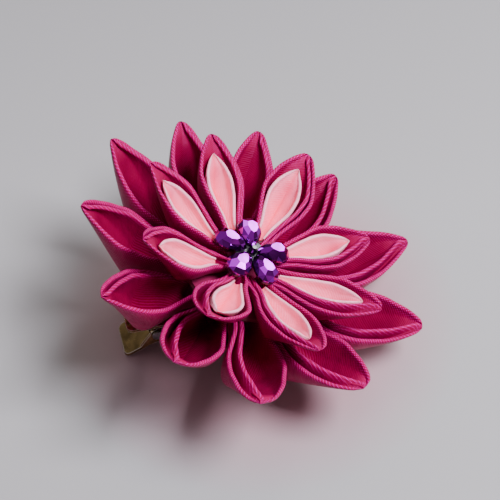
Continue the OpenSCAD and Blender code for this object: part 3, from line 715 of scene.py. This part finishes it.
def woven_satin(name, cloth, tone, painted_shade_share):
    """Satin ribbon, woven polyester with floats on one face.

    The eye gets a soft sheen and ribs of thread that cross each fold at 45 degrees, with a
    painted highlight along the folds and painted shade where the cloth faces itself in a pocket.
    """
    base, deep, crest, sheen = (
        getattr(cloth, tone + part) for part in ("", "_deep", "_fold", "_sheen")
    )
    even = {
        "Sheen Weight": 0.02,
        "Sheen Roughness": 0.4,
        "Sheen Tint": sheen,
        "Specular IOR Level": 0.18,
        "Specular Tint": sheen,
        "Anisotropic": 0.5,
    }
    material, tree, shader = new_material(name, base, even)
    threads = node(tree, "ShaderNodeUVMap", uv_map="threads")
    fold = node(tree, "ShaderNodeAttribute", output="Fac", attribute_name="fold")
    depth = node(tree, "ShaderNodeAttribute", output="Fac", attribute_name="deep")
    # Fine lines across the ribs are the same wave with its first direction turned over
    mirrored = node(tree, "ShaderNodeMapping", {"Vector": threads, "Scale": (-1, 1, 1)})
    thick = {"Distortion": 0.9, "Detail": 1.5, "Detail Scale": 3.0}
    thin = {"Distortion": 1.6, "Detail": 2.0, "Detail Scale": 2.0}
    ribs, twill = (
        node(
            tree,
            "ShaderNodeTexWave",
            {"Vector": way, "Scale": WAVE_SPACING * MM / spacing, **lines},
            "Fac",
            bands_direction="DIAGONAL",
        )
        for way, spacing, lines in ((threads, cloth.rib, thick), (mirrored, cloth.twill, thin))
    )
    # Floats of thread, drawn at 0.3 mm because the real 0.1 mm would not show
    grit = {"Scale": 33.0, "Detail": 2.0, "Roughness": 0.6}
    floats = node(tree, "ShaderNodeTexNoise", {"Vector": threads, **grit})
    # Soft creases about 4 mm wide
    soft = {"Scale": 2.4, "Detail": 3.0, "Roughness": 0.5}
    creases = node(tree, "ShaderNodeTexNoise", {"Vector": threads, **soft})
    # Painted shade: darker towards the deep colour the further down a pocket or slit
    sink = node(tree, "ShaderNodeMath", {0: depth, 1: painted_shade_share}, operation="MULTIPLY")
    sunk = node(tree, "ShaderNodeMix", {"Factor": sink, 6: base, 7: deep}, 2, data_type="RGBA")
    # The crossing twill breaks the ribs into dots
    gaps = node(tree, "ShaderNodeMapRange", {"Value": twill, "To Min": 0.5, "To Max": 1.0})
    broken = node(tree, "ShaderNodeMath", {0: ribs, 1: gaps}, operation="MULTIPLY")
    dots = node(tree, "ShaderNodeMapRange", {"Value": broken, "From Min": 0.5, "From Max": 0.95})
    # Painted highlight of the threads along the folds, and the twill shows a little everywhere in
    # the same colour
    on_fold = node(tree, "ShaderNodeMath", {0: dots, 1: fold}, operation="MULTIPLY")
    on_flat = node(tree, "ShaderNodeMath", {0: twill, 1: 0.09}, operation="MULTIPLY")
    glint = node(
        tree, "ShaderNodeMath", {0: on_fold, 1: 0.85, 2: on_flat}, operation="MULTIPLY_ADD"
    )
    # Painted highlight: the colour brightens towards the fold colour along the folds
    lit = node(tree, "ShaderNodeMix", {"Factor": glint, 6: sunk, 7: crest}, 2, data_type="RGBA")
    shade = node(
        tree, "ShaderNodeMapRange", {"Value": creases, **NOISE_SPAN, "To Min": 0.9, "To Max": 1.1}
    )
    rough = node(
        tree, "ShaderNodeMapRange", {"Value": floats, **NOISE_SPAN, "To Min": 0.3, "To Max": 0.42}
    )
    # Ribs stand up on a fold, and on flat cloth the twill stands 0.3 as high as they do
    low_twill = node(tree, "ShaderNodeMath", {0: twill, 1: 0.3}, operation="MULTIPLY")
    stand = node(tree, "ShaderNodeMix", {"Factor": fold, 2: low_twill, 3: dots})
    fine = node(tree, "ShaderNodeMath", {0: floats, 1: 0.2, 2: stand}, operation="MULTIPLY_ADD")
    height = node(tree, "ShaderNodeMath", {0: creases, 1: 4.0, 2: fine}, operation="MULTIPLY_ADD")
    colour = node(tree, "ShaderNodeHueSaturation", {"Value": shade, "Color": lit})
    bump = node(tree, "ShaderNodeBump", {"Height": height, "Strength": 0.8, "Distance": 0.12 * MM})
    set_inputs(tree, shader, {"Base Color": colour, "Roughness": rough, "Normal": bump})
    return material


def pressed_felt(colour):
    """Felt, pressed wool and polyester fibre: dull, with short fibres lying all ways."""
    even = {"Roughness": 0.95, "Sheen Weight": 0.25, "Specular IOR Level": 0.2}
    material, tree, shader = new_material("pressed felt, magenta", colour, even)
    place = node(tree, "ShaderNodeTexCoord", output="Object")
    # Fibres 0.4 mm long
    fluff = {"Scale": 1 / (0.4 * MM), "Detail": 4.0, "Roughness": 0.7, "Distortion": 1.0}
    fibres = node(tree, "ShaderNodeTexNoise", {"Vector": place, **fluff})
    tone = node(
        tree, "ShaderNodeMapRange", {"Value": fibres, **NOISE_SPAN, "To Min": 0.75, "To Max": 1.2}
    )
    toned = node(tree, "ShaderNodeHueSaturation", {"Value": tone, "Color": colour})
    bump = node(tree, "ShaderNodeBump", {"Height": fibres, "Strength": 0.6, "Distance": 0.15 * MM})
    set_inputs(tree, shader, {"Base Color": toned, "Normal": bump})
    return material


def plated_steel(name, colour, roughness, grain_mm, stretch=(1, 1, 1), bright=None):
    """Sheet or wire steel with nickel plating over the lines that rolling left.

    The eye gets clear reflections, a little streaked along the rolling, cloudy patches
    some millimetres wide where the plating is tarnished, and a painted highlight along its edges.
    A number under 1 in stretch draws the streaks out along its axis.
    """
    material, tree, shader = new_material(name, colour, {"Metallic": 1.0})
    place = node(tree, "ShaderNodeTexCoord", output="Object")
    lines = node(tree, "ShaderNodeMapping", {"Vector": place, "Scale": stretch})
    rolled = {"Scale": 1 / (grain_mm * MM), "Detail": 3.0, "Roughness": 0.6}
    grain = node(tree, "ShaderNodeTexNoise", {"Vector": lines, **rolled})
    # Clouds of tarnish 2.6 mm wide
    cloudy = {"Scale": 1 / (2.6 * MM), "Detail": 2.0, "Distortion": 0.6}
    clouds = node(tree, "ShaderNodeTexNoise", {"Vector": place, **cloudy})
    streaks = {"From Min": 0.3, "From Max": 0.75, "To Min": roughness, "To Max": roughness + 0.14}
    rough = node(tree, "ShaderNodeMapRange", {"Value": grain, **streaks})
    dulling = {"From Min": 0.35, "From Max": 0.65, "To Min": 1.25, "To Max": 0.55}
    tarnish = node(tree, "ShaderNodeMapRange", {"Value": clouds, **dulling})
    toned = node(tree, "ShaderNodeHueSaturation", {"Value": tarnish, "Color": colour})
    if bright is not None:
        # Where a normal rounded over 0.25 mm leaves the face's own, there is an edge, which gets a
        # painted highlight
        rounded = node(tree, "ShaderNodeBevel", {"Radius": 0.25 * MM}, samples=8)
        flat = node(tree, "ShaderNodeNewGeometry", output="True Normal")
        same = node(
            tree, "ShaderNodeVectorMath", {0: rounded, 1: flat}, "Value", operation="DOT_PRODUCT"
        )
        edge_highlight_mask = node(
            tree, "ShaderNodeMapRange", {"Value": same, "From Min": 0.995, "From Max": 0.93}
        )
        toned = node(
            tree, "ShaderNodeMix", {"Factor": edge_highlight_mask, 6: toned, 7: bright}, 2, data_type="RGBA"
        )
    bump = node(tree, "ShaderNodeBump", {"Height": grain, "Strength": 0.15, "Distance": 0.02 * MM})
    set_inputs(tree, shader, {"Base Color": toned, "Roughness": rough, "Normal": bump})
    return material


def cut_resin(name, colour, metal, lit=None):
    """Cast resin stone with a lacquered foil back, its facets polished.

    The eye gets the foil's colour mirrored in each facet under a clear white gloss, and
    facets that lean to the left and front, away from the windows, get a painted highlight
    in a brighter colour, standing in for the windows' light that the foil sends back.
    """
    even = {
        "Metallic": metal,
        "Roughness": 0.06,
        "Coat Weight": 0.08,
        "Coat Roughness": 0.02,
        "Coat IOR": 1.56,
    }
    material, tree, shader = new_material(name, colour, even)
    place = node(tree, "ShaderNodeTexCoord", output="Object")
    # Depth of colour changes over about 2.5 mm, as the foil's lacquer does
    cloud = node(
        tree, "ShaderNodeTexNoise", {"Vector": place, "Scale": 1 / (2.5 * MM), "Detail": 1.0}
    )
    tone = node(
        tree, "ShaderNodeMapRange", {"Value": cloud, **NOISE_SPAN, "To Min": 0.6, "To Max": 1.25}
    )
    toned = node(tree, "ShaderNodeHueSaturation", {"Value": tone, "Color": colour})
    if lit is not None:
        # Painted highlight on the facets that face LIT_FACET
        flat = node(tree, "ShaderNodeNewGeometry", output="True Normal")
        facing = node(
            tree, "ShaderNodeVectorMath", {0: flat, 1: LIT_FACET}, "Value", operation="DOT_PRODUCT"
        )
        painted_facet_highlight = node(
            tree, "ShaderNodeMapRange", {"Value": facing, "From Min": 0.88, "From Max": 0.94}
        )
        toned = node(
            tree, "ShaderNodeMix", {"Factor": painted_facet_highlight, 6: toned, 7: lit}, 2, data_type="RGBA"
        )
    set_inputs(tree, shader, {"Base Color": toned})
    return material


def table_top(colour, glow):
    """Coated table top: pale grey paint with a low sheen, so it mirrors softly."""
    even = {"Roughness": 0.38, "Specular IOR Level": 0.35}
    material, tree, shader = new_material("painted table top, low sheen", colour, even)
    place = node(tree, "ShaderNodeTexCoord", output="Object")
    # Roller marks about 6 mm apart
    marks = node(
        tree, "ShaderNodeTexNoise", {"Vector": place, "Scale": 1 / (6 * MM), "Detail": 2.0}
    )
    rough = node(tree, "ShaderNodeMapRange", {"Value": marks, "To Min": 0.34, "To Max": 0.42})
    # The light falls off behind the flower, from 20 to 110 mm away
    away = node(tree, "ShaderNodeSeparateXYZ", {"Vector": place}, "Y")
    dimming = {"From Min": 20 * MM, "From Max": 110 * MM, "To Min": 1.0, "To Max": 0.8}
    fall = node(tree, "ShaderNodeMapRange", {"Value": away, **dimming})
    toned = node(tree, "ShaderNodeHueSaturation", {"Value": fall, "Color": colour})
    # Magenta satin throws its light on the table, up to 43 mm from the flower's middle
    near = node(tree, "ShaderNodeVectorMath", {0: place}, "Value", operation="LENGTH")
    fading = {"From Min": 25 * MM, "From Max": 43 * MM, "To Min": 0.6, "To Max": 0.0}
    thrown = node(tree, "ShaderNodeMapRange", {"Value": near, **fading})
    tinted = node(tree, "ShaderNodeMix", {"Factor": thrown, 6: toned, 7: glow}, 2, data_type="RGBA")
    set_inputs(tree, shader, {"Base Color": tinted, "Roughness": rough})
    return material


def petal_rows(count):
    """Shares along a petal, closer together at its tip: (k / n)^1.35."""
    return np.linspace(0, 1, count) ** 1.35


def take_place(piece, name):
    """Puts a ribbon in its plain solid's place, on the flower's body, and hides the solid."""
    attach(piece, "flower")
    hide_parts(f"petal_{name}")


def fold_ring(ring, cloth, material):
    """Folds each petal of a ring and puts it in place of its plain solid."""
    rng = np.random.default_rng(bpy.context.scene.flower_studio.seed)
    for i, row in enumerate(ring.table):
        name = f"{ring.kind}_{i + 1:02d}"
        u = petal_rows(SECTIONS) * (1 + ring.tail / (ring.reach * row[REACH] - ring.heart))
        m = measures(ring, cloth, row, u)
        section, scale = close_tip(folded_section(m), m.back, POINT_LENGTH)
        piece = cloth_piece(
            f"ribbon_{name}",
            section,
            m.radius,
            direction(ring, i),
            np.minimum(cloth.ply, 0.4 * m.wall) * scale,
            material,
            cloth.waver,
            cloth.spread,
            rng,
        )
        take_place(piece, name)


class FLOWER_OT_large_petals(Operator):
    """Fold the ring of large magenta petals"""

    bl_idname = "flower.large_petals"
    bl_label = "Large petals"

    def execute(self, context):
        scene = context.scene
        low, _, cloth = rings(scene)
        satin = woven_satin(MAGENTA_SATIN, scene.flower_cloth, "magenta", PAINTED_SHADE_SHARE)
        fold_ring(low, cloth, satin)
        return {"FINISHED"}


class FLOWER_OT_small_petals(Operator):
    """Fold the ring of small magenta petals"""

    bl_idname = "flower.small_petals"
    bl_label = "Small petals"

    def execute(self, context):
        _, up, cloth = rings(context.scene)
        satin = bpy.data.materials[MAGENTA_SATIN]
        fold_ring(up, cloth, satin)
        return {"FINISHED"}


class FLOWER_OT_pale_petals(Operator):
    """Fold the pale petals that line the small ones"""

    bl_idname = "flower.pale_petals"
    bl_label = "Pale petals"

    def execute(self, context):
        scene = context.scene
        _, up, cloth = rings(scene)
        pale = in_mm(scene.flower_pale, "inset drop back gap wall ply")
        satin = woven_satin(
            "satin ribbon, woven polyester, pale pink", scene.flower_cloth, "pale", PALE_PAINTED_SHADE_SHARE
        )
        rng = np.random.default_rng(scene.flower_studio.seed + 1)
        along = petal_rows(PALE_SECTIONS)
        for i, row in enumerate(up.table):
            length = up.reach * row[REACH] - up.heart
            near, far = pale.inset / length, 1 - pale.back / length
            m = measures(up, cloth, row, near + (far - near) * along)
            section = lining_section(m, pale, along[:, None])
            section, scale = close_tip(section, m.back - m.back[0], PALE_POINT_LENGTH)
            piece = cloth_piece(
                f"ribbon_pale_{i + 1:02d}",
                section,
                m.radius,
                direction(up, i),
                pale.ply * scale,
                satin,
                PALE_CALM * cloth.waver,
                PALE_CALM * cloth.spread,
                rng,
            )
            take_place(piece, f"pale_{i + 1:02d}")
        return {"FINISHED"}


def drop_outline(angle, length, width):
    """Outline of a drop stone, with its narrow end towards the flower's middle.

    It is an ellipse whose width grows along it from 0.62 to 1.28 of its own.
    """
    x = (1 - np.cos(angle)) / 2
    return np.stack([length * x, width / 2 * np.sin(angle) * (0.62 + 0.66 * x)], axis=-1)


def cut_drop(length, width, height, table, girdle):
    """Points and triangles of a cut drop, eight flat facets round its table.

    Rings of the outline round its middle: back, lower and upper girdle of sixteen points,
    eight points where the facets round the table end, and the table's eight corners. The
    last two points are the middles of the back and of the table.
    """
    full = np.arange(16) * np.pi / 8
    middle = np.array([STONE_MIDDLE * length, 0])

    def ring(angle, scale, z):
        flat = middle + (drop_outline(angle, length, width) - middle) * scale
        return np.column_stack([flat, np.full(len(angle), z)])

    points = np.concatenate([
        ring(full, BACK_SCALE, 0),
        ring(full, 1, (girdle - GIRDLE_BAND) * height),
        ring(full, 1, girdle * height),
        ring(full[::2], CROWN_SCALE, CROWN_HEIGHT * height),
        ring(full[::2], table, height),
        [[*middle, 0], [*middle, height]],
    ])
    back, low, high = (np.arange(16) + 16 * k for k in range(3))
    crown, top = 48 + np.arange(8), 56 + np.arange(8)
    faces = []
    for a, b in ((back, low), (low, high)):
        an, bn = np.roll(a, -1), np.roll(b, -1)
        faces += [np.stack([a, an, bn], 1), np.stack([a, bn, b], 1)]
    corner, side = high[::2], high[1::2]
    next_corner, next_crown, next_top = (np.roll(a, -1) for a in (corner, crown, top))
    faces += [
        np.stack([corner, side, crown], 1),
        np.stack([crown, side, next_crown], 1),
        np.stack([side, next_corner, next_crown], 1),
        np.stack([crown, next_crown, next_top], 1),
        np.stack([crown, next_top, top], 1),
        np.stack([top, next_top, np.full(8, len(points) - 1)], 1),
        np.stack([np.roll(back, -1), back, np.full(16, len(points) - 2)], 1),
    ]
    return points, np.concatenate(faces)


def finish_solids(names, material):
    """Gives carried-over solids their material in every slot."""
    for name in names:
        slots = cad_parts[name].material_slots
        if not slots:
            raise RuntimeError(f"{name} has no material slot")
        for place in slots:
            place.material = material


class FLOWER_OT_stones(Operator):
    """Cut the five drop stones and finish the dark one and the plate they sit on"""

    bl_idname = "flower.stones"
    bl_label = "Stones"

    def execute(self, context):
        group = context.scene.flower_stones
        mm = in_mm(group, "length width height start")
        violet = cut_resin(
            "cast resin stone, violet foil back", group.violet, metal=1.0, lit=group.glow
        )
        dark = cut_resin("cast resin stone, black", group.dark, metal=0.0)
        plate = plated_steel(
            "cast setting, bright silver plate", group.plate, roughness=0.4, grain_mm=0.5
        )
        points, faces = cut_drop(mm.length, mm.width, mm.height, group.table, group.girdle)
        # The stones' height comes from the dark stone's middle, in the flower's frame
        low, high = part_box("stone_centre")
        middle = [*((np.array(low) + np.array(high)) / 2), 1]
        middle_z = (np.linalg.inv(seat_frame()) @ np.array(middle))[2] / MM
        placed = points + np.array([mm.start, 0, middle_z - DARK_STONE_RISE * mm.height])
        for i, turn in enumerate(STONE_TURNS):
            piece = new_piece(
                f"cut_stone_{i + 1}", set_in_flower(placed, turn), faces, violet, smooth=False
            )
            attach(piece, "flower")
            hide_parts(f"stone_{i + 1}")
        finish_solids(["stone_centre"], dark)
        finish_solids(["stone_plate"], plate)
        return {"FINISHED"}


class FLOWER_OT_backing(Operator):
    """Finish the felt discs"""

    bl_idname = "flower.backing"
    bl_label = "Felt backing"

    def execute(self, context):
        felt = pressed_felt(context.scene.flower_cloth.felt_colour)
        finish_solids(["felt_back", "felt_middle"], felt)
        return {"FINISHED"}


class FLOWER_OT_clip(Operator):
    """Finish the clip's arms, pin and spring"""

    bl_idname = "flower.clip"
    bl_label = "Clip"

    def execute(self, context):
        group = context.scene.flower_steel
        sheet = plated_steel(
            "rolled steel sheet, nickel plated",
            group.nickel,
            group.polish,
            grain_mm=0.35,
            stretch=(0.12, 1, 1),
            bright=group.edge,
        )
        wire = plated_steel("drawn steel wire", group.wire, roughness=0.26, grain_mm=0.2)
        finish_solids(["clip_top", "clip_jaw"], sheet)
        finish_solids(["pivot_pin", "spring", "spring_leg"], wire)
        return {"FINISHED"}


def aim(obj, eye, target):
    """Stands a light or the camera at eye, looking at target, with its top upwards."""
    look = Vector(target) - Vector(eye)
    turned = look.to_track_quat("-Z", "Y").to_matrix().to_4x4()
    obj.matrix_world = Matrix.Translation(eye) @ turned


class FLOWER_OT_stage(Operator):
    """Lay the floor, set the lights and stand the camera where the photograph was taken"""

    bl_idname = "flower.stage"
    bl_label = "Stage"

    def execute(self, context):
        scene, studio = context.scene, context.scene.flower_studio
        corners = [(-1, -1, 0), (1, -1, 0), (1, 1, 0), (-1, 1, 0)]
        mesh = bpy.data.meshes.new("table_top")
        mesh.from_pydata((np.array(corners) * FLOOR_REACH).tolist(), [], [(0, 1, 2, 3)])
        floor = bpy.data.objects.new("table_top", mesh)
        floor.data.materials.append(table_top(studio.floor, studio.floor_glow))
        scene.collection.objects.link(floor)
        scene.world = bpy.data.worlds.new("soft_room")
        scene.world.use_nodes = True
        tree = scene.world.node_tree
        soft = {"Color": studio.sky_colour, "Strength": studio.sky}
        set_inputs(tree, tree.nodes["Background"], soft)
        back = seat_frame()[:3, 3]
        for name, place, side, colour in LIGHTS:
            data = bpy.data.lights.new(name, "AREA")
            data.shape, data.size = "SQUARE", side
            data.energy, data.color = getattr(studio, name), colour
            lamp = bpy.data.objects.new(name, data)
            scene.collection.objects.link(lamp)
            aim(lamp, back + np.array(place), back)
        turn, drop = math.radians(CAMERA_TURN), math.radians(CAMERA_DROP)
        away = np.array([math.sin(turn), math.cos(turn), 0])
        gaze = away * math.cos(drop) - np.array([0, 0, math.sin(drop)])
        eye = back + np.array(CAMERA_PLACE)
        data = bpy.data.cameras.new("camera")
        data.sensor_width, data.lens = SENSOR_WIDTH, studio.lens
        data.clip_start, data.clip_end = 0.02, 20
        camera = bpy.data.objects.new("camera", data)
        scene.collection.objects.link(camera)
        aim(camera, eye, eye + gaze)
        scene.camera = camera
        return {"FINISHED"}


GROUPS = (
    ("flower_large", FLOWER_PG_large),
    ("flower_small", FLOWER_PG_small),
    ("flower_pale", FLOWER_PG_pale),
    ("flower_cloth", FLOWER_PG_cloth),
    ("flower_stones", FLOWER_PG_stones),
    ("flower_steel", FLOWER_PG_steel),
    ("flower_studio", FLOWER_PG_studio),
)
OPERATORS = (
    FLOWER_OT_stage,
    FLOWER_OT_large_petals,
    FLOWER_OT_small_petals,
    FLOWER_OT_pale_petals,
    FLOWER_OT_stones,
    FLOWER_OT_backing,
    FLOWER_OT_clip,
)


class FLOWER_PT_sidebar(Panel):
    """Lists the pieces and the sizes and colours that they are made from."""

    bl_idname = "FLOWER_PT_sidebar"
    bl_label = "Ribbon flower hair clip"
    bl_space_type = "VIEW_3D"
    bl_region_type = "UI"
    bl_category = "Ribbon flower"

    def draw(self, context):
        for operator in OPERATORS:
            self.layout.operator(operator.bl_idname)
        for name, group in GROUPS:
            box = self.layout.box()
            box.label(text=group.__doc__.strip("."))
            for key in group.__annotations__:
                box.prop(getattr(context.scene, name), key)


def register():
    """Registers the property groups, the operators and the panel."""
    for name, group in GROUPS:
        bpy.utils.register_class(group)
        setattr(bpy.types.Scene, name, PointerProperty(type=group))
    for item in (*OPERATORS, FLOWER_PT_sidebar):
        bpy.utils.register_class(item)


def unregister():
    """Takes everything that register added away again."""
    for item in (FLOWER_PT_sidebar, *reversed(OPERATORS)):
        bpy.utils.unregister_class(item)
    for name, group in reversed(GROUPS):
        delattr(bpy.types.Scene, name)
        bpy.utils.unregister_class(group)


def main():
    """Makes every piece in order."""
    register()
    for operator in OPERATORS:
        area, call = operator.bl_idname.split(".")
        if getattr(getattr(bpy.ops, area), call)() != {"FINISHED"}:
            raise RuntimeError(f"{operator.bl_label} did not finish")
    bpy.context.view_layer.update()


if __name__ == "__main__":
    main()
